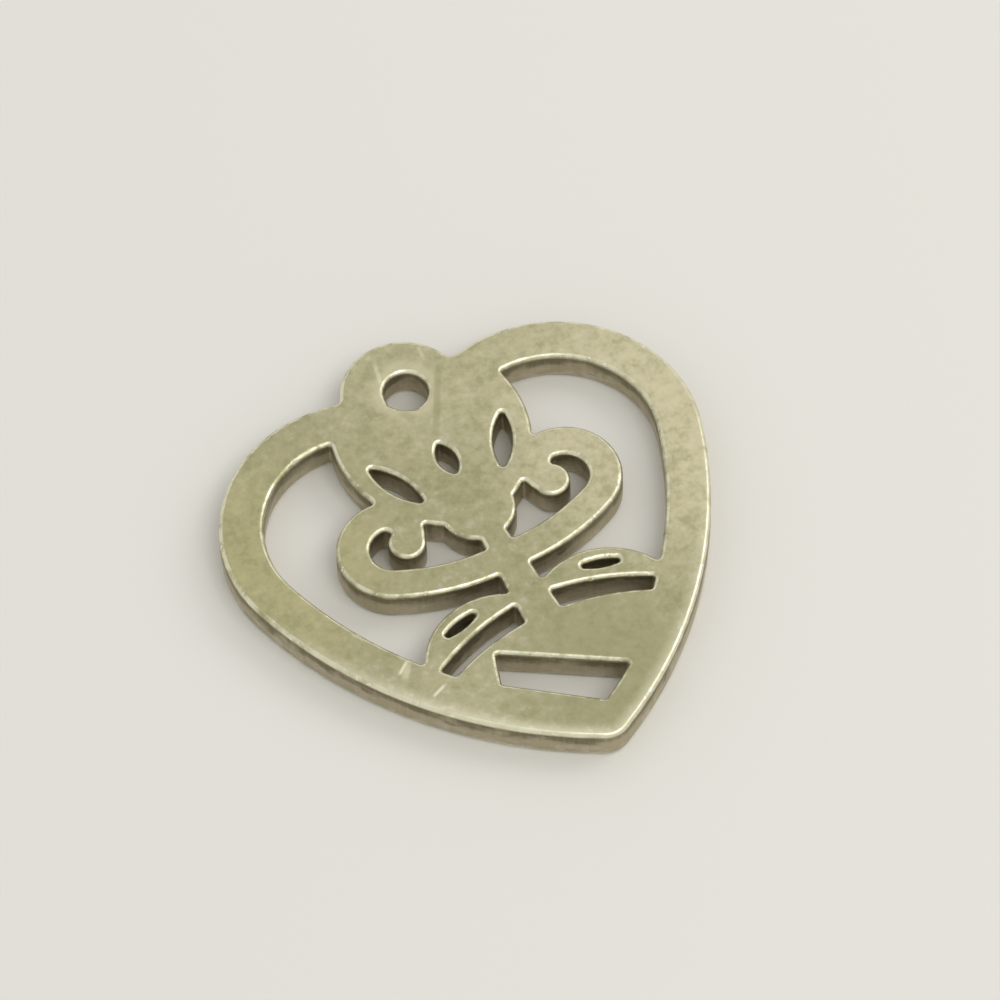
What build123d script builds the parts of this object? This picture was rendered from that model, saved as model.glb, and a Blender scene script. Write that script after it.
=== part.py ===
from build123d import *
import math
import os

# A flat silver heart charm, lying with its back face up.
# Millimetres; +Y runs from the heart's point to the hanging tab, and the
# origin is at the middle of the outline, on the surface that it lies on.

# Heart outline and sheet
HEART_WIDTH = 18.6
HEART_HEIGHT = 17.6
LOBE_RADIUS = 5.44
SIDE_RADIUS = 17.6
POINT_RADIUS = 1.0
RIM_WIDTH = 1.65
THICKNESS = 1.3

# Hanging tab, seated in the cleft between the lobes
TAB_RADIUS = 2.33
TAB_RISE = 1.48
TAB_OFFSET = -0.14
TAB_FILLET = 0.3
HOLE_RADIUS = 0.82
HOLE_CORNER_ANGLE = 138.0
HOLE_SIDE_SEAT = -163.0
HOLE_POINT_SEAT = -90.0
EYE_WALL = 0.65

# Ground plate above the point; the slanted opening's corner and end are shares of its height
PLATE_ARCH_RADIUS = 9.0
OPENING_CORNER = (-0.397, -0.13)
OPENING_SLANT = -32.0
OPENING_END = 0.225
OPENING_END_SLANT = -107.0
OPENING_FOOT_SLANT = -37.0
OPENING_BITE = 0.35

# Stem between the ground plate and the calyx
STEM_LENGTH = 5.2
STEM_FOOT_WIDTH = 1.6
STEM_NECK_WIDTH = 1.0

# Flower head: calyx below, petals up to the rim
CALYX_RADIUS = 1.45
CALYX_DROP = 5.0
PETAL_ROOT = 0.75
SIDE_PETAL_INNER_BULGE = 0.45
SIDE_PETAL_OUTER_BULGE = 1.75
SIDE_PETAL_SEAT = 98.0
CENTRE_EYE_MARGIN = 0.2
SIDE_EYE_LENGTH = 2.6
EYE_WIDTH = 0.7

# Scrolls, bent from strip, leaning on the petals
STRIP_WIDTH = 1.25
SCROLL_RISE = 2.8
SCROLL_DIP = 4.0
CURL_RADIUS = 1.5
CURL_SEAT = -42.0
CURL_LAP = 0.75
CURL_TURN = 150.0
INNER_CURL_RADIUS = 0.85
INNER_CURL_TURN = 140.0
BALL_RADIUS = 0.7

# Leaves, from the stem to the rim, drooping over the plate
LEAF_ROOT_GAP = 0.8
LEAF_TIP_GAP = 0.5
LEAF_WIDTH = 1.35
VEIN_LENGTH = 1.8
VEIN_WIDTH = 0.36

# Hand finish
SAW_RADIUS = 0.1
EDGE_RADIUS = 0.19


def point_from(start, bearing, distance):
    """Point at a bearing in degrees and a distance from another point."""
    angle = math.radians(bearing)
    return start + Vector(math.cos(angle), math.sin(angle)) * distance


def bearing(start, end):
    """Direction in degrees from one point to another."""
    step = end - start
    return math.degrees(math.atan2(step.Y, step.X))


def lens(start, end, left_bulge, right_bulge):
    """Leaf-shaped face between two points, bounded by two arcs."""
    middle = (start + end) / 2
    step = end - start
    left = Vector(-step.Y, step.X).normalized()
    return make_face(
        Curve()
        + ThreePointArc(start, middle + left * left_bulge, end)
        + ThreePointArc(end, middle - left * right_bulge, start)
    )


def meeting_point(first, first_radius, second, second_radius):
    """Where two circles meet, on the right of the way from the first to the second."""
    span = second - first
    along = (first_radius ** 2 - second_radius ** 2 + span.length ** 2) / (2 * span.length)
    across = math.sqrt(first_radius ** 2 - along ** 2)
    way = span.normalized()
    return first + way * along + Vector(way.Y, -way.X) * across


def mirrored(shape):
    """The same shape on the other side of the heart."""
    return mirror(shape, about=Plane.YZ)


# Places that the pieces share
lobe_top = (HEART_HEIGHT - TAB_RISE) / 2
point_y = lobe_top - HEART_HEIGHT
lobe_centre = Vector(HEART_WIDTH / 2 - LOBE_RADIUS, lobe_top - LOBE_RADIUS)
point_centre = Vector(0, point_y + POINT_RADIUS)
cleft = Vector(0, lobe_centre.Y + math.sqrt(LOBE_RADIUS ** 2 - lobe_centre.X ** 2))
tab_centre = Vector(0, lobe_top + TAB_RISE - TAB_RADIUS)
calyx_centre = cleft - Vector(0, CALYX_DROP)
plate_top = calyx_centre - Vector(0, STEM_LENGTH)
ground_height = plate_top.Y - point_y
arch_centre = plate_top - Vector(0, PLATE_ARCH_RADIUS)
petal_root = calyx_centre - Vector(0, PETAL_ROOT)


def side_centre():
    """Centre of the right side arc, tangent to the lobe and to the point."""
    return meeting_point(lobe_centre, SIDE_RADIUS - LOBE_RADIUS, point_centre, SIDE_RADIUS - POINT_RADIUS)


def heart():
    """Outline of the whole heart: lobe, side and point arcs, mirrored."""
    side = side_centre()
    at_cleft = bearing(lobe_centre, cleft)
    at_lobe = bearing(side, lobe_centre)
    at_point = bearing(side, point_centre)
    half = (
        Curve()
        + CenterArc(lobe_centre, LOBE_RADIUS, at_cleft, at_lobe - at_cleft)
        + CenterArc(side, SIDE_RADIUS, at_lobe, at_point - at_lobe)
        + CenterArc(point_centre, POINT_RADIUS, at_point, -90 - at_point)
    )
    return make_face(half + mirrored(half))


def hanging_hole():
    """Hole in the tab: a drilled round with two filed corners."""
    flank = 90 - HOLE_CORNER_ANGLE / 2
    reach = HOLE_RADIUS / math.cos(math.radians(flank))
    wall = Curve()
    for seat, next_seat in ((HOLE_SIDE_SEAT, HOLE_POINT_SEAT), (HOLE_POINT_SEAT, HOLE_SIDE_SEAT + 360)):
        round_wall = CenterArc(tab_centre, HOLE_RADIUS, seat + flank, next_seat - seat - 2 * flank)
        entering = point_from(tab_centre, seat - flank, HOLE_RADIUS)
        wall += Polyline(entering, point_from(tab_centre, seat, reach), round_wall @ 0) + round_wall
    return make_face(wall)


def hanging_tab(outline):
    """Rounded tab on the lobes, filling the cleft, with the eye round its hole let into the rim."""
    seat = tab_centre + Vector(TAB_OFFSET, 0)
    half_width = Vector(TAB_RADIUS, 0)
    root = make_face(Polyline(seat - half_width, cleft, seat + half_width, close=True))
    eye = Pos(tab_centre) * Circle(HOLE_RADIUS + EYE_WALL)
    return (Pos(seat) * Circle(TAB_RADIUS) + root - outline) + eye - hanging_hole()


def opening_end():
    """Upper and lower corners of the slanted opening's left end."""
    corner = plate_top + Vector(*OPENING_CORNER) * ground_height
    return corner, point_from(corner, OPENING_END_SLANT, OPENING_END * ground_height)


def slanted_opening(outline):
    """Four-sided opening above the point, sawn a little into the rim at its far end."""
    corner, foot = opening_end()
    along = point_from(corner, OPENING_SLANT, HEART_WIDTH)
    foot_along = point_from(foot, OPENING_FOOT_SLANT, HEART_WIDTH)
    band = make_face(Polyline(corner, along, foot_along, foot, close=True))
    return band & offset(outline, OPENING_BITE - RIM_WIDTH)


def frame_window(outline):
    """Window of the heart's frame, cut straight along the foot of the slanted opening."""
    foot = opening_end()[1]
    high = point_from(foot, OPENING_FOOT_SLANT, -HEART_WIDTH)
    low = point_from(foot, OPENING_FOOT_SLANT, HEART_WIDTH)
    point_ground = make_face(Polyline(high, low, Vector(high.X, low.Y), close=True))
    return offset(outline, -RIM_WIDTH) - point_ground


def ground_plate(window, opening):
    """Arched plate across the point, cut away along the slanted opening."""
    arch = Pos(arch_centre) * Circle(PLATE_ARCH_RADIUS)
    return (window & arch) - opening


def stem():
    """Tapered bar from inside the plate's edge to inside the calyx."""
    foot = plate_top.Y - STEM_FOOT_WIDTH / 2
    neck = calyx_centre.Y - CALYX_RADIUS / 2
    half_foot = STEM_FOOT_WIDTH / 2
    half_neck = STEM_NECK_WIDTH / 2
    return make_face(
        Polyline((-half_foot, foot), (half_foot, foot), (half_neck, neck), (-half_neck, neck), close=True)
    )


def calyx():
    """Round base of the flower."""
    return Pos(calyx_centre) * Circle(CALYX_RADIUS)


def petal_tip():
    """Where the right petal ends, in the middle of the lobe's rim."""
    return point_from(lobe_centre, SIDE_PETAL_SEAT, LOBE_RADIUS - RIM_WIDTH / 2)


def side_petal(window):
    """Right petal, from the calyx to the rim of the lobe, with its eye."""
    tip = petal_tip()
    petal = lens(petal_root, tip, SIDE_PETAL_INNER_BULGE, SIDE_PETAL_OUTER_BULGE)
    step = (tip - petal_root).normalized()
    shift = (SIDE_PETAL_OUTER_BULGE - SIDE_PETAL_INNER_BULGE) / 2
    middle = (petal_root + tip) / 2 + Vector(step.Y, -step.X) * shift
    half = step * (SIDE_EYE_LENGTH / 2)
    eye = lens(middle - half, middle + half, EYE_WIDTH / 2, EYE_WIDTH / 2)
    return (petal & window) - eye


def centre_petal(window):
    """Upright petal that fills the flower between the side petals up to the rim, with its eye."""
    tip = petal_tip()
    fan = make_face(Polyline(petal_root, tip, Vector(-tip.X, tip.Y), close=True))
    eye_foot = calyx_centre + Vector(0, CALYX_RADIUS + CENTRE_EYE_MARGIN)
    eye_head = cleft - Vector(0, RIM_WIDTH + CENTRE_EYE_MARGIN)
    return (fan & window) - lens(eye_foot, eye_head, EYE_WIDTH / 2, EYE_WIDTH / 2)


def curl_centre():
    """Centre of the right scroll's curl, which leans on the petal's outer side."""
    chord = petal_tip() - petal_root
    outwards = Vector(chord.Y, -chord.X).normalized()
    petal_radius = (chord.length ** 2 / 4 + SIDE_PETAL_OUTER_BULGE ** 2) / (2 * SIDE_PETAL_OUTER_BULGE)
    petal_centre = (petal_root + petal_tip()) / 2 + outwards * (SIDE_PETAL_OUTER_BULGE - petal_radius)
    reach = petal_radius + CURL_RADIUS + STRIP_WIDTH / 2 - CURL_LAP
    return point_from(petal_centre, CURL_SEAT, reach)


def scroll():
    """Right scroll: a strip that sweeps out from the stem and curls in to a ball."""
    start = plate_top + Vector(0, SCROLL_RISE)
    curl_middle = curl_centre()
    inwards = point_from(Vector(0, 0), 90 - SCROLL_DIP, 1)
    away = start - curl_middle
    sweep_radius = (CURL_RADIUS ** 2 - away.length ** 2) / (2 * (inwards.dot(away) + CURL_RADIUS))
    sweep_middle = start + inwards * sweep_radius
    leaving = bearing(sweep_middle, curl_middle)
    entering = -90 - SCROLL_DIP
    inner_middle = point_from(curl_middle, leaving + CURL_TURN, CURL_RADIUS - INNER_CURL_RADIUS)
    inner_curl = CenterArc(inner_middle, INNER_CURL_RADIUS, leaving + CURL_TURN, INNER_CURL_TURN)
    path = [
        CenterArc(sweep_middle, sweep_radius, entering, leaving - entering),
        CenterArc(curl_middle, CURL_RADIUS, leaving, CURL_TURN),
        inner_curl,
    ]
    return trace(Curve() + path, STRIP_WIDTH) + Pos(inner_curl @ 1) * Circle(BALL_RADIUS)


def leaf(window):
    """Right leaf, from the stem to the rim, drooping over the plate and pierced along its vein."""
    tip = meeting_point(
        arch_centre, PLATE_ARCH_RADIUS + LEAF_TIP_GAP, side_centre(), SIDE_RADIUS - RIM_WIDTH / 2
    )
    lean = (bearing(arch_centre, tip) + 90) / 2
    lower_radius = PLATE_ARCH_RADIUS + (LEAF_ROOT_GAP + LEAF_TIP_GAP) / 2
    root = plate_top + Vector(0, LEAF_ROOT_GAP)
    under = point_from(arch_centre, lean, lower_radius)
    over = point_from(arch_centre, lean, lower_radius + LEAF_WIDTH)
    blade = make_face(Curve() + ThreePointArc(root, over, tip) + ThreePointArc(tip, under, root))
    middle = (under + over) / 2
    half = point_from(Vector(0, 0), lean - 90, VEIN_LENGTH / 2)
    vein = lens(middle - half, middle + half, VEIN_WIDTH / 2, VEIN_WIDTH / 2)
    return (blade & window) - vein


def fitted_faces():
    """Plan of every piece, each cut to seat against the ones before it."""
    outline = heart()
    opening = slanted_opening(outline)
    window = frame_window(outline)
    tab = hanging_tab(outline)
    plans = {
        "heart_frame": outline - window - tab - hanging_hole() - opening,
        "hanging_tab": tab,
        "ground_plate": ground_plate(window, opening),
        "stem": stem(),
        "calyx": calyx(),
        "right_petal": side_petal(window),
        "left_petal": mirrored(side_petal(window)),
        "centre_petal": centre_petal(window),
        "right_scroll": scroll(),
        "left_scroll": mirrored(scroll()),
        "right_leaf": leaf(window),
        "left_leaf": mirrored(leaf(window)),
    }
    fitted = {}
    for name, plan in plans.items():
        for seated in fitted.values():
            plan = plan - seated
        fitted[name] = plan
    return fitted


def sawn_opening(opening):
    """An opening as the saw leaves it, with no corner tighter than the blade turns."""
    return offset(offset(opening, -SAW_RADIUS), SAW_RADIUS)


def sawn_plan(plan):
    """Plan of the soldered charm, with fillets beside the tab and sawn openings."""
    blank = Sketch() + Face(plan.face().outer_wire())
    soldered = offset(offset(blank, TAB_FILLET), -TAB_FILLET)
    return soldered - [sawn_opening(opening) for opening in (blank - plan).faces()]


def polished_pieces(fitted):
    """Solder the pieces in plan, polish the charm, and part it again at the seams."""
    plan = Sketch() + list(fitted.values())
    sawn = sawn_plan(plan)
    charm = extrude(sawn, THICKNESS)
    polished = fillet(charm.faces().filter_by(Axis.Z).edges(), EDGE_RADIUS)
    for solder in (sawn - plan).faces():
        middle = solder.center()
        touched = [name for name in fitted if fitted[name].distance_to(middle) < SAW_RADIUS]
        joined = {name: fitted[name] + solder for name in touched}
        whole = [name for name in touched if len(joined[name].faces()) == 1]
        fitted[whole[-1]] = joined[whole[-1]]
    pieces = {}
    for name, face in fitted.items():
        twin = name.replace("left", "right")
        pieces[name] = mirrored(pieces[twin]) if twin in pieces else extrude(face, THICKNESS) & polished
    return pieces


if __name__ == "__main__":
    os.makedirs("parts", exist_ok=True)
    for name, piece in polished_pieces(fitted_faces()).items():
        export_step(piece, f"parts/{name}.step")
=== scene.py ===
"""A flat pierced heart charm in worn silver, lying on a pale floor in soft light."""
import logging
import math
from dataclasses import dataclass
from enum import Enum
from functools import reduce
from typing import Any

import bpy
from mathutils import Matrix, Vector

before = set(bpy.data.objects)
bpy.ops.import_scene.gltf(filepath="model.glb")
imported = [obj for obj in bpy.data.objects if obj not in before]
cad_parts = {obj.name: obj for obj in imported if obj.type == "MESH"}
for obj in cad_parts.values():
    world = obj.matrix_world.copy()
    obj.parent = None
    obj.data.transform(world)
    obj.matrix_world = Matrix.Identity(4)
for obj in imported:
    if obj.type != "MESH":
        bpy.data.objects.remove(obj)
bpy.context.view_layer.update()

MM = 0.001
LOG = logging.getLogger("charm")

Colour = tuple[float, float, float]
Place = tuple[float, float]
Triple = tuple[float, float, float]

# A Mix node's sockets share their names, so those for colours go by number
MIX_SHARE, MIX_BELOW, MIX_ABOVE = 0, 6, 7
NOISE_MIDDLE = 0.5

# Pale silver for polish, and for painted light: the pool on the right and the halo round the hole
POLISH_AND_PAINTED_SHEEN: Colour = (0.624, 0.578, 0.398)
YELLOWED: Colour = (0.512, 0.478, 0.246)
TARNISHED: Colour = (0.335, 0.332, 0.186)


class Tone(Enum):
    """Whether a stroke has bared the metal, or is darker: tarnish, and along one crease a painted
    shade.
    """

    BRIGHT = "bright"
    DULL = "dull"


@dataclass(frozen=True)
class Span:
    """The values at which a smooth step begins and is complete; it may fall."""

    start: float
    end: float

    def times(self, factor: float) -> "Span":
        """The span in other units."""
        return Span(self.start * factor, self.end * factor)

    def squared(self) -> "Span":
        """The span for a squared distance."""
        return Span(self.start ** 2, self.end ** 2)


@dataclass(frozen=True)
class Grit:
    """A fractal noise: features per millimetre, octaves, weight of the finer ones."""

    scale: float
    octaves: float
    weight: float


class Signal:
    """A shader socket that takes part in Python expressions."""

    def __init__(self, graph: "Graph", socket: bpy.types.NodeSocket) -> None:
        """Keep the socket and the graph that it belongs to."""
        self.graph = graph
        self.socket = socket

    def _math(self, operation: str, *values: Any) -> "Signal":
        """Add a Math node for one operation on numbers."""
        inputs = dict(enumerate(values))
        return self.graph.node("ShaderNodeMath", {"operation": operation}, inputs)["Value"]

    def __add__(self, other: Any) -> "Signal":
        """Sum with a number or a signal."""
        return self._math("ADD", self, other)

    __radd__ = __add__

    def __sub__(self, other: Any) -> "Signal":
        """Difference from a number or a signal."""
        return self._math("SUBTRACT", self, other)

    def __rsub__(self, other: Any) -> "Signal":
        """A number less this signal."""
        return self._math("SUBTRACT", other, self)

    def __mul__(self, other: Any) -> "Signal":
        """Product with a number or a signal."""
        return self._math("MULTIPLY", self, other)

    __rmul__ = __mul__

    def least(self, other: Any) -> "Signal":
        """The smaller of two values."""
        return self._math("MINIMUM", self, other)

    def most(self, other: Any) -> "Signal":
        """The larger of two values."""
        return self._math("MAXIMUM", self, other)

    def rise(self, span: Span) -> "Signal":
        """A smooth step across a span.

        Args:
            span: Where the step is 0 and where it is 1.

        Returns:
            The step, between 0 and 1.
        """
        settings = {"interpolation_type": "SMOOTHSTEP", "clamp": True}
        low, high = sorted((span.start, span.end))
        inputs = {"Value": self, "From Min": low, "From Max": high}
        if span.end < span.start:
            inputs |= {"To Min": 1.0, "To Max": 0.0}
        return self.graph.node("ShaderNodeMapRange", settings, inputs)["Result"]


class Graph:
    """The node tree of one material."""

    def __init__(self, name: str) -> None:
        """Start an empty material.

        Args:
            name: The material's name.
        """
        self.material = bpy.data.materials.new(name)
        self.material.use_nodes = True
        self.tree = self.material.node_tree
        self.tree.nodes.clear()

    def node(
        self, kind: str, settings: dict[str, Any], inputs: dict[Any, Any]
    ) -> dict[str, Signal]:
        """Add any node.

        Args:
            kind: The node's type.
            settings: Properties of the node, set before its sockets.
            inputs: Socket names or numbers, each with a value or a signal.

        Returns:
            The node's enabled outputs by name.
        """
        made = self.tree.nodes.new(kind)
        for key, value in settings.items():
            setattr(made, key, value)
        for key, value in inputs.items():
            socket = made.inputs[key]
            if isinstance(value, Signal):
                self.tree.links.new(value.socket, socket)
            else:
                socket.default_value = value
        return {out.name: Signal(self, out) for out in made.outputs if out.enabled}

    def millimetres(self) -> Signal:
        """The point on the object, in millimetres."""
        inputs = {0: self.node("ShaderNodeTexCoord", {}, {})["Object"], "Scale": 1 / MM}
        return self.node("ShaderNodeVectorMath", {"operation": "SCALE"}, inputs)["Vector"]

    def axes(self, point: Signal) -> tuple[Signal, Signal, Signal]:
        """The three numbers of a point."""
        parts = self.node("ShaderNodeSeparateXYZ", {}, {"Vector": point})
        return parts["X"], parts["Y"], parts["Z"]

    def turned(self, point: Signal, degrees: float) -> Signal:
        """A point turned about the upright axis."""
        inputs = {"Vector": point, "Angle": math.radians(degrees)}
        return self.node("ShaderNodeVectorRotate", {"rotation_type": "Z_AXIS"}, inputs)["Vector"]

    def stretched(self, point: Signal, factors: Triple) -> Signal:
        """A point scaled along each axis."""
        inputs = {0: point, 1: factors}
        return self.node("ShaderNodeVectorMath", {"operation": "MULTIPLY"}, inputs)["Vector"]

    def squared_from(self, point: Signal, centre: Place) -> Signal:
        """Squared distance from an upright axis.

        Args:
            point: The point in millimetres.
            centre: Where the axis stands, in millimetres.

        Returns:
            Square millimetres.
        """
        x, y, _ = self.axes(point)
        from_x, from_y = x - centre[0], y - centre[1]
        return from_x * from_x + from_y * from_y

    def noise(self, point: Signal, grit: Grit) -> Signal:
        """Fractal noise around one half.

        Args:
            point: Where it is read.
            grit: How fine and how rough it is.

        Returns:
            The noise value.
        """
        inputs = {
            "Vector": point,
            "Scale": grit.scale,
            "Detail": grit.octaves,
            "Roughness": grit.weight,
        }
        return self.node("ShaderNodeTexNoise", {}, inputs)["Fac"]

    def over(self, below: Any, above: Any, share: Any) -> Signal:
        """Lay one colour over another.

        Args:
            below: Colour or signal underneath.
            above: Colour or signal on top.
            share: How much of the top one shows.

        Returns:
            The mixed colour.
        """
        settings = {"data_type": "RGBA", "blend_type": "MIX", "clamp_factor": True}
        lower, upper = ((*c, 1.0) if isinstance(c, tuple) else c for c in (below, above))
        inputs = {MIX_SHARE: share, MIX_BELOW: lower, MIX_ABOVE: upper}
        return self.node("ShaderNodeMix", settings, inputs)["Result"]

    def finish(self, inputs: dict[str, Any]) -> bpy.types.Material:
        """Close the graph with one surface shader.

        Args:
            inputs: Sockets of the surface shader.

        Returns:
            The material.
        """
        surface = self.node("ShaderNodeBsdfPrincipled", {}, inputs)["BSDF"]
        self.node("ShaderNodeOutputMaterial", {}, {"Surface": surface})
        return self.material


@dataclass(frozen=True)
class Scratch:
    """A scribed stroke on the back face, between two places in millimetres.

    It fades in along its head and out along its tail, in shares of its length.
    """

    start: Place
    end: Place
    width: float
    strength: float
    tone: Tone = Tone.BRIGHT
    head: Span = Span(0.0, 0.25)
    tail: Span = Span(1.0, 0.6)

    def mask(self, graph: Graph, point: Signal) -> Signal:
        """Where the stroke lies.

        Args:
            graph: The material's nodes.
            point: The point in millimetres.

        Returns:
            The stroke's strength on its middle line and 0 off it.
        """
        start = Vector(self.start)
        step = Vector(self.end) - start
        x, y, _ = graph.axes(point)
        from_x, from_y = x - start.x, y - start.y
        along = (from_x * step.x + from_y * step.y) * (1 / step.length)
        across = (from_x * step.y - from_y * step.x) * (1 / step.length)
        ends = along.rise(self.head.times(step.length)) * along.rise(self.tail.times(step.length))
        beside = (across * across).rise(Span(self.width / 2, 0.0).squared())
        return beside * ends * self.strength


@dataclass(frozen=True)
class Patch:
    """A place, in millimetres, where the face is made paler or darker: polish, tarnish, and a
    painted pool of light.
    """

    centre: Place
    reach: float
    strength: float
    colour: Colour = POLISH_AND_PAINTED_SHEEN

    def mask(self, graph: Graph, point: Signal) -> Signal:
        """The patch's strength, which fades from its centre."""
        squared = graph.squared_from(point, self.centre)
        return squared.rise(Span(self.reach, 0.0).squared()) * self.strength


@dataclass(frozen=True)
class HoleRubAndHighlight:
    """A pale halo round the hole, in millimetres: the rub of a hanging ring and a painted
    highlight of the hole's edge.
    """

    centre: Place = (0.0, 7.21)
    fade: Span = Span(1.45, 1.02)
    share: float = 0.65

    def mask(self, graph: Graph, point: Signal) -> Signal:
        """The halo, strongest at the hole's edge."""
        return graph.squared_from(point, self.centre).rise(self.fade.squared()) * self.share


@dataclass(frozen=True)
class RimWearAndHighlight:
    """Wear and a painted highlight along the outside of the heart's lower sides, in millimetres.

    The centre is that of the right side's arc, and the left side mirrors it.
    """

    centre: Place = (-7.785, 6.121)
    radius: float = 17.6
    width: float = 0.62
    side_rise: Span = Span(1.0, -4.0)
    point_rise: Span = Span(-4.0, -9.0)
    point_gain: float = 0.5
    right_share: float = 0.75
    middle: Span = Span(1.5, -1.5)
    share: float = 0.50
    bloom_gain: float = 0.25

    def mask(self, graph: Graph, point: Signal, bloom: Signal) -> Signal:
        """Where the rim is painted pale, for wear and a highlight.

        Args:
            graph: The material's nodes.
            point: The point in millimetres.
            bloom: The pale bloom, which breaks the band up.

        Returns:
            A band that grows towards the edge and the point, weaker on the right.
        """
        x, y, _ = graph.axes(point)
        from_x, from_y = x.most(x * -1) - self.centre[0], y - self.centre[1]
        squared = from_x * from_x + from_y * from_y
        near = squared.rise(Span(self.radius - self.width, self.radius).squared())
        low = y.rise(self.side_rise) + y.rise(self.point_rise) * self.point_gain
        side = self.right_share + x.rise(self.middle) * (1 - self.right_share)
        return near * low * side * (self.share + bloom * self.bloom_gain)


@dataclass(frozen=True)
class Mottling:
    """Clouds, blotches and flecks of tarnish on the flat faces."""

    face: Colour = (0.410, 0.394, 0.240)
    stain: Colour = (0.338, 0.326, 0.182)
    warm: Colour = (0.450, 0.408, 0.256)
    bloom: Colour = (0.535, 0.508, 0.372)
    cloud_grit: Grit = Grit(0.45, 3.0, 0.55)
    blotch_grit: Grit = Grit(2.6, 5.0, 0.66)
    fleck_grit: Grit = Grit(5.5, 3.0, 0.6)
    tint_grit: Grit = Grit(1.3, 4.0, 0.62)
    tint_turn: float = 37.0
    stain_cloud: float = 0.30
    stain_rise: Span = Span(0.46, 0.64)
    stain_share: float = 0.85
    warm_rise: Span = Span(0.46, 0.64)
    warm_share: float = 0.55
    bloom_cloud: float = 0.25
    bloom_rise: Span = Span(0.48, 0.34)
    bloom_share: float = 0.70
    fleck_rise: Span = Span(0.58, 0.72)
    fleck_share: float = 0.35
    patch_share: float = 0.85
    patch_bloom: float = 0.30
    patch_stain: float = 0.45


@dataclass(frozen=True)
class WallStreaksAndShade:
    """Upright sawn walls, darker than the faces for tarnish and a painted dark reflection, and
    paler towards the foot with a painted highlight.

    The foot rises over a span in shares of the thickness, which the scars sway.
    """

    top: Colour = (0.230, 0.202, 0.122)
    foot: Colour = (0.490, 0.438, 0.312)
    bloom: Colour = (0.640, 0.582, 0.486)
    ridge_grit: Grit = Grit(6.0, 4.0, 0.65)
    ridge_stretch: Triple = (1.0, 1.0, 0.10)
    scar_grit: Grit = Grit(0.9, 3.0, 0.6)
    scar_stretch: Triple = (1.0, 1.0, 2.2)
    scar_sway: float = 1.4
    foot_rise: Span = Span(0.85, 0.35)
    bloom_scar: float = 0.6
    bloom_rise: Span = Span(0.44, 0.60)
    bloom_share: float = 0.75


@dataclass(frozen=True)
class EdgeWearAndHighlight:
    """Rounded edges painted pale for wear and a painted highlight, with small dings painted as
    glints.
    """

    bare_metal_and_highlight: Colour = (0.840, 0.820, 0.620)
    nick_glint: Colour = (0.930, 0.915, 0.800)
    wear_grit: Grit = Grit(1.6, 3.0, 0.6)
    wear_rise: Span = Span(0.28, 0.64)
    share: float = 0.9
    nick_rise: Span = Span(0.60, 0.68)


@dataclass(frozen=True)
class Gloss:
    """How rough the metal is, and how each kind of wear changes that."""

    base: float = 0.43
    stain: float = 0.07
    fleck: float = 0.16
    wall: float = 0.10
    edge: float = -0.13


@dataclass(frozen=True)
class Relief:
    """How high each kind of unevenness stands, in multiples of a depth in metres."""

    depth: float = 0.00002
    cloud: float = 2.5
    blotch: float = 0.5
    grain: float = 0.03
    marks: float = -0.25
    ridges: float = 0.5
    wear: float = 0.5
    grain_grit: Grit = Grit(22.0, 2.0, 0.6)


@dataclass
class Zones:
    """A point, its height, and masks of the rounded edges, the walls and the back."""

    point: Signal
    height: Signal
    edge: Signal
    wall: Signal
    back: Signal


@dataclass
class Weather:
    """Noises at a point, and the stain and bloom that are made of them."""

    cloud: Signal
    blotch: Signal
    fleck: Signal
    stain: Signal
    bloom: Signal
    ridges: Signal
    wear: Signal


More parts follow.
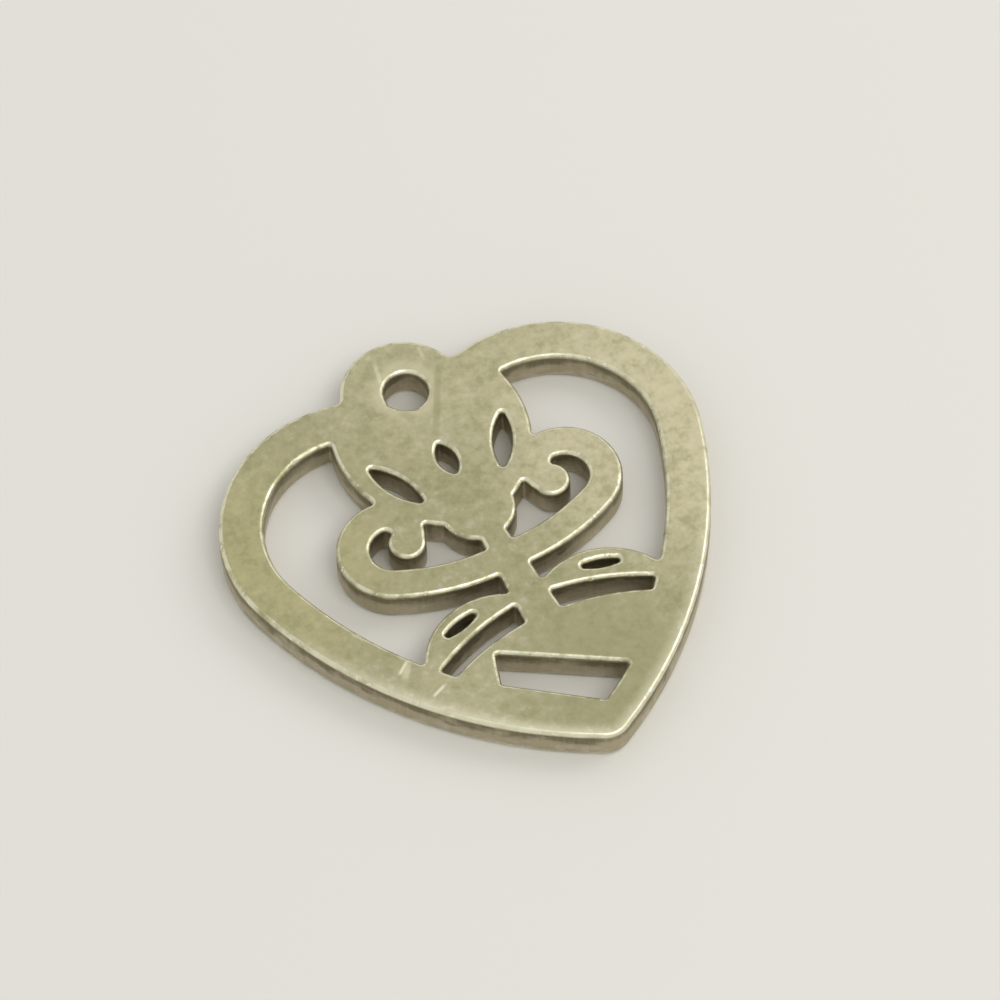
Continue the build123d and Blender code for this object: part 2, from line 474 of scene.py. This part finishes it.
@dataclass(frozen=True)
class SilverWearAndPaintedLight:
    """Satin tarnished silver; edges painted pale for wear and highlight, sawn walls dark for
    tarnish and a reflection.

    Lengths are in millimetres. The spans that part the flats, the edges and the
    walls are in edge radii, and the span between the faces is in thicknesses.
    """

    name: str = "silver_wear_and_painted_light"
    thickness: float = 1.3
    edge_radius: float = 0.19
    flat_rise: Span = Span(0.06, 0.001)
    wall_rise: Span = Span(0.45, 1.1)
    back_rise: Span = Span(0.45, 0.55)
    mottling: Mottling = Mottling()
    sawn: WallStreaksAndShade = WallStreaksAndShade()
    edge: EdgeWearAndHighlight = EdgeWearAndHighlight()
    hole: HoleRubAndHighlight = HoleRubAndHighlight()
    rim: RimWearAndHighlight = RimWearAndHighlight()
    gloss: Gloss = Gloss()
    relief: Relief = Relief()
    patches: tuple[Patch, ...] = (
        # A painted pool of light over the right rim and the upper right lobe
        Patch((8.4, 2.0), 9.0, 0.98),
        Patch((0.2, 7.8), 5.0, 0.38),
        Patch((-4.8, -5.4), 3.0, 0.30),
        Patch((-8.6, 2.6), 6.5, 0.60, YELLOWED),
        Patch((1.2, -7.0), 4.5, 0.50, TARNISHED),
    )
    scratches: tuple[Scratch, ...] = (
        Scratch((-5.83, -3.77), (-5.10, -3.22), 0.17, 0.85),
        Scratch((-5.76, -4.10), (-5.10, -3.20), 0.36, 0.40),
        Scratch((-5.17, -5.14), (-4.36, -4.79), 0.17, 0.85),
        Scratch((-6.55, -1.30), (-6.20, -1.95), 0.07, 0.40),
        Scratch((-0.71, 7.71), (-0.45, 9.02), 0.22, 0.38),
        Scratch((1.29, 8.84), (1.21, 8.01), 0.20, 0.26),
        Scratch((-5.30, -4.30), (-5.00, -3.35), 0.50, 0.30, Tone.DULL),
        Scratch((-1.23, 8.24), (-0.52, 8.98), 0.50, 0.50, Tone.DULL),
        Scratch((0.13, 9.10), (1.18, 8.38), 0.80, 0.30, Tone.DULL),
        Scratch((-0.74, 6.53), (-0.10, 5.69), 0.45, 0.40, Tone.DULL),
        # A painted shade along a faint crease that runs up to the right notch
        Scratch((-0.05, 4.65), (1.90, 8.30), 0.36, 0.55, Tone.DULL),
    )

    def material(self) -> bpy.types.Material:
        """Build the node material.

        Returns:
            The material for every piece of the charm.
        """
        graph = Graph(self.name)
        zones = self.zones(graph)
        weather = self.weather(graph, zones.point)
        # The edges painted pale: worn metal and a painted highlight
        bright = zones.edge * weather.wear.rise(self.edge.wear_rise)
        marks = self.strokes(graph, zones.point, Tone.BRIGHT) * zones.back

        colour = self.face_colour(graph, zones.point, weather)
        # Walls: tarnish and saw streaks, with a painted dark reflection and a painted highlight
        # at the foot
        colour = graph.over(colour, self.wall_colour_and_shade(graph, zones, weather), zones.wall)
        colour = graph.over(colour, self.edge.bare_metal_and_highlight, bright * self.edge.share)
        # Near-white specks on the edges: dings painted as glints
        nick_glints = zones.edge * weather.fleck.rise(self.edge.nick_rise)
        colour = graph.over(colour, self.edge.nick_glint, nick_glints)
        # Round the hole: ring wear and a painted highlight
        halo = self.hole.mask(graph, zones.point) * zones.back
        colour = graph.over(colour, POLISH_AND_PAINTED_SHEEN, halo)
        # Dark strokes: tarnish, and a painted shade along a crease
        dull = self.strokes(graph, zones.point, Tone.DULL) * zones.back
        colour = graph.over(colour, self.mottling.stain, dull)
        colour = graph.over(colour, self.edge.bare_metal_and_highlight, marks)

        roughness = self.gloss.base + weather.stain * self.gloss.stain
        roughness = roughness + (weather.fleck - NOISE_MIDDLE) * self.gloss.fleck
        roughness = roughness + zones.wall * self.gloss.wall + bright * self.gloss.edge
        inputs = {
            "Base Color": colour,
            "Metallic": 1.0,
            "Roughness": roughness,
            "Normal": self.bumps(graph, zones, weather, marks),
        }
        return graph.finish(inputs)

    def zones(self, graph: Graph) -> Zones:
        """Part the flat faces, the rounded edges and the walls by height.

        Args:
            graph: The material's nodes.

        Returns:
            The point and its masks.
        """
        point = graph.millimetres()
        height = graph.axes(point)[2]
        inside = (height * -1 + self.thickness).least(height)
        flat = inside.rise(self.flat_rise.times(self.edge_radius))
        wall = inside.rise(self.wall_rise.times(self.edge_radius))
        edge = (1 - flat - wall).most(0.0)
        back = height.rise(self.back_rise.times(self.thickness)) * flat
        return Zones(point, height, edge, wall, back)

    def weather(self, graph: Graph, point: Signal) -> Weather:
        """Make the noises that the finish is mixed from.

        Args:
            graph: The material's nodes.
            point: The point in millimetres.

        Returns:
            The noises, the stain and the bloom.
        """
        look = self.mottling
        cloud = graph.noise(point, look.cloud_grit)
        blotch = graph.noise(point, look.blotch_grit)
        stain = cloud * look.stain_cloud + blotch * (1 - look.stain_cloud)
        bloom = cloud * look.bloom_cloud + blotch * (1 - look.bloom_cloud)
        return Weather(
            cloud=cloud,
            blotch=blotch,
            fleck=graph.noise(point, look.fleck_grit),
            stain=stain.rise(look.stain_rise),
            bloom=bloom.rise(look.bloom_rise),
            ridges=graph.noise(
                graph.stretched(point, self.sawn.ridge_stretch), self.sawn.ridge_grit
            ),
            wear=graph.noise(point, self.edge.wear_grit),
        )

    def face_colour(self, graph: Graph, point: Signal, weather: Weather) -> Signal:
        """Mix the tarnish of the flat faces, with a painted pool of light and a painted highlight
        along the rim.

        Args:
            graph: The material's nodes.
            point: The point in millimetres.
            weather: The noises at the point.

        Returns:
            The colour of a flat face.
        """
        look = self.mottling
        tint = graph.noise(graph.turned(point, look.tint_turn), look.tint_grit)
        colour = graph.over(look.face, look.stain, weather.stain * look.stain_share)
        colour = graph.over(colour, look.warm, tint.rise(look.warm_rise) * look.warm_share)
        pale = weather.bloom * look.bloom_share
        pale = pale + weather.fleck.rise(look.fleck_rise) * look.fleck_share
        colour = graph.over(colour, look.bloom, pale)
        patch_weight = look.patch_share + weather.bloom * look.patch_bloom
        patch_weight = patch_weight - weather.stain * look.patch_stain
        for patch in self.patches:
            colour = graph.over(colour, patch.colour, patch.mask(graph, point) * patch_weight)
        # A pale band along the lower rim: wear and the painted highlight of a broad rounding
        return graph.over(colour, self.edge.bare_metal_and_highlight, self.rim.mask(graph, point, weather.bloom))

    def wall_colour_and_shade(self, graph: Graph, zones: Zones, weather: Weather) -> Signal:
        """Mix the streaks and scars of the sawn walls, with their painted shade and highlight.

        Args:
            graph: The material's nodes.
            zones: The point and its masks.
            weather: The noises at the point.

        Returns:
            The colour of a wall.
        """
        look = self.sawn
        scar = graph.noise(graph.stretched(zones.point, look.scar_stretch), look.scar_grit)
        share_up = zones.height * (1 / self.thickness)
        foot = (share_up + (scar - NOISE_MIDDLE) * look.scar_sway).rise(look.foot_rise)
        # Dark top as painted shade of a dark reflection, pale foot as a painted highlight
        colour = graph.over(look.top, look.foot, foot + (weather.ridges - NOISE_MIDDLE))
        broken = scar * look.bloom_scar + weather.blotch * (1 - look.bloom_scar)
        pale = foot * broken.rise(look.bloom_rise) * look.bloom_share
        return graph.over(colour, look.bloom, pale)

    def bumps(self, graph: Graph, zones: Zones, weather: Weather, marks: Signal) -> Signal:
        """Raise the unevenness of the faces, the edges and the walls.

        Args:
            graph: The material's nodes.
            zones: The point and its masks.
            weather: The noises at the point.
            marks: Mask of the bright strokes, which are cut in.

        Returns:
            The bumped normal.
        """
        look = self.relief
        grain = graph.noise(zones.point, look.grain_grit)
        height = weather.cloud * look.cloud + weather.blotch * look.blotch
        height = height + grain * look.grain + marks * look.marks
        height = height + weather.ridges * zones.wall * look.ridges
        height = height + weather.wear * zones.edge * look.wear
        inputs = {"Strength": 1.0, "Distance": look.depth, "Height": height}
        return graph.node("ShaderNodeBump", {}, inputs)["Normal"]

    def strokes(self, graph: Graph, point: Signal, tone: Tone) -> Signal:
        """Mask of all the scribed strokes of one tone.

        Args:
            graph: The material's nodes.
            point: The point in millimetres.
            tone: Which strokes.

        Returns:
            The strongest of them at each point.
        """
        chosen = (scratch for scratch in self.scratches if scratch.tone is tone)
        return reduce(Signal.most, [scratch.mask(graph, point) for scratch in chosen])


@dataclass(frozen=True)
class PaleFloor:
    """A plain matt floor."""

    name: str = "pale_floor"
    colour: Colour = (0.72, 0.71, 0.68)
    roughness: float = 0.85

    def material(self) -> bpy.types.Material:
        """Build the plain material."""
        inputs = {"Base Color": (*self.colour, 1.0), "Roughness": self.roughness}
        return Graph(self.name).finish(inputs)


@dataclass
class Charm:
    """The soldered silver pieces, which keep their modelled shapes."""

    slot: str = "silver"
    finish: SilverWearAndPaintedLight = SilverWearAndPaintedLight()

    def dress(self) -> None:
        """Give every piece the silver finish, with its wear and its painted light."""
        silver = self.finish.material()
        for name, piece in sorted(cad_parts.items()):
            piece.data.materials.clear()
            piece.data.materials.append(silver)
            LOG.info("%s dressed in %s", name, silver.name)


def direction(azimuth: float, elevation: float) -> Vector:
    """The way from the charm to a lamp or to the camera.

    Args:
        azimuth: Degrees round the upright axis, from the front.
        elevation: Degrees above the floor.

    Returns:
        A vector of length one.
    """
    turn, rise = math.radians(azimuth), math.radians(elevation)
    level = math.cos(rise)
    return Vector((math.sin(turn) * level, -math.cos(turn) * level, math.sin(rise)))


@dataclass(frozen=True)
class Lamp:
    """A soft square light that points at the charm.

    Angles are in degrees, lengths in metres and the power in watts.
    """

    name: str
    azimuth: float
    elevation: float
    distance: float
    size: float
    power: float
    colour: Colour

    def place(self, target: Vector) -> None:
        """Hang the lamp round the target.

        Args:
            target: The point that it shines on, in metres.
        """
        data = bpy.data.lights.new(self.name, "AREA")
        data.shape = "SQUARE"
        data.size = self.size
        data.energy = self.power
        data.color = self.colour
        lamp = bpy.data.objects.new(self.name, data)
        bpy.context.scene.collection.objects.link(lamp)
        away = direction(self.azimuth, self.elevation)
        lamp.location = target + away * self.distance
        lamp.rotation_euler = away.to_track_quat("Z", "Y").to_euler()


@dataclass
class Studio:
    """Pale floor, soft lamps and the camera at the photograph's angle.

    Lengths are in metres, apart from the aim and the lens, in millimetres.
    """

    floor_size: float = 1.2
    floor_drop: float = 0.00002
    floor_finish: PaleFloor = PaleFloor()
    world_colour: Colour = (0.90, 0.89, 0.86)
    world_strength: float = 0.83
    azimuth: float = -25.58
    elevation: float = 56.48
    roll: float = -2.0
    distance: float = 0.2165
    lens: float = 213.8
    nearest: float = 0.002165
    farthest: float = 12.0
    aim: Triple = (0.853, 1.262, 1.3)
    lamps: tuple[Lamp, ...] = (
        Lamp("key", 20.0, 62.0, 0.35, 0.20, 0.30, (1.0, 0.98, 0.94)),
        Lamp("back", 140.0, 48.0, 0.15, 0.09, 0.010, (1.0, 0.97, 0.92)),
        Lamp("side", 88.0, 38.0, 0.30, 0.14, 0.14, (1.0, 0.98, 0.93)),
    )

    def build(self) -> None:
        """Make the floor, the light and the camera."""
        self.make_floor()
        self.make_light()
        self.make_camera()

    def make_floor(self) -> None:
        """Lay the pale floor just under the charm."""
        bpy.ops.object.select_all(action="DESELECT")
        place = (0, 0, -self.floor_drop)
        bpy.ops.mesh.primitive_plane_add(size=self.floor_size, location=place)
        floor = bpy.context.object
        floor.name = "floor"
        floor.data.materials.append(self.floor_finish.material())
        LOG.info("floor laid")

    def make_light(self) -> None:
        """Set an even pale world and hang the lamps."""
        world = bpy.data.worlds.new("studio")
        world.use_nodes = True
        background = world.node_tree.nodes["Background"]
        background.inputs["Color"].default_value = (*self.world_colour, 1.0)
        background.inputs["Strength"].default_value = self.world_strength
        bpy.context.scene.world = world
        for lamp in self.lamps:
            lamp.place(Vector(self.aim) * MM)
            LOG.info("%s lamp hung", lamp.name)

    def make_camera(self) -> None:
        """Set the camera where the photograph was taken from."""
        turn, roll = math.radians(self.azimuth), math.radians(self.roll)
        right = Vector((math.cos(turn), math.sin(turn), 0))
        back = direction(self.azimuth, self.elevation)
        up = back.cross(right)
        across = right * math.cos(roll) + up * math.sin(roll)
        upward = up * math.cos(roll) - right * math.sin(roll)
        data = bpy.data.cameras.new("camera")
        data.lens = self.lens
        data.clip_start = self.nearest
        data.clip_end = self.farthest
        camera = bpy.data.objects.new("camera", data)
        bpy.context.scene.collection.objects.link(camera)
        place = Vector(self.aim) * MM + back * self.distance
        turned = Matrix((across, upward, back)).transposed().to_4x4()
        camera.matrix_world = Matrix.Translation(place) @ turned
        bpy.context.scene.camera = camera
        LOG.info("camera set")


def main() -> None:
    """Dress the charm and build the studio."""
    logging.basicConfig(level=logging.INFO, format="%(name)s: %(message)s")
    bpy.context.scene.view_settings.view_transform = "Standard"
    Charm().dress()
    Studio().build()


if __name__ == "__main__":
    main()
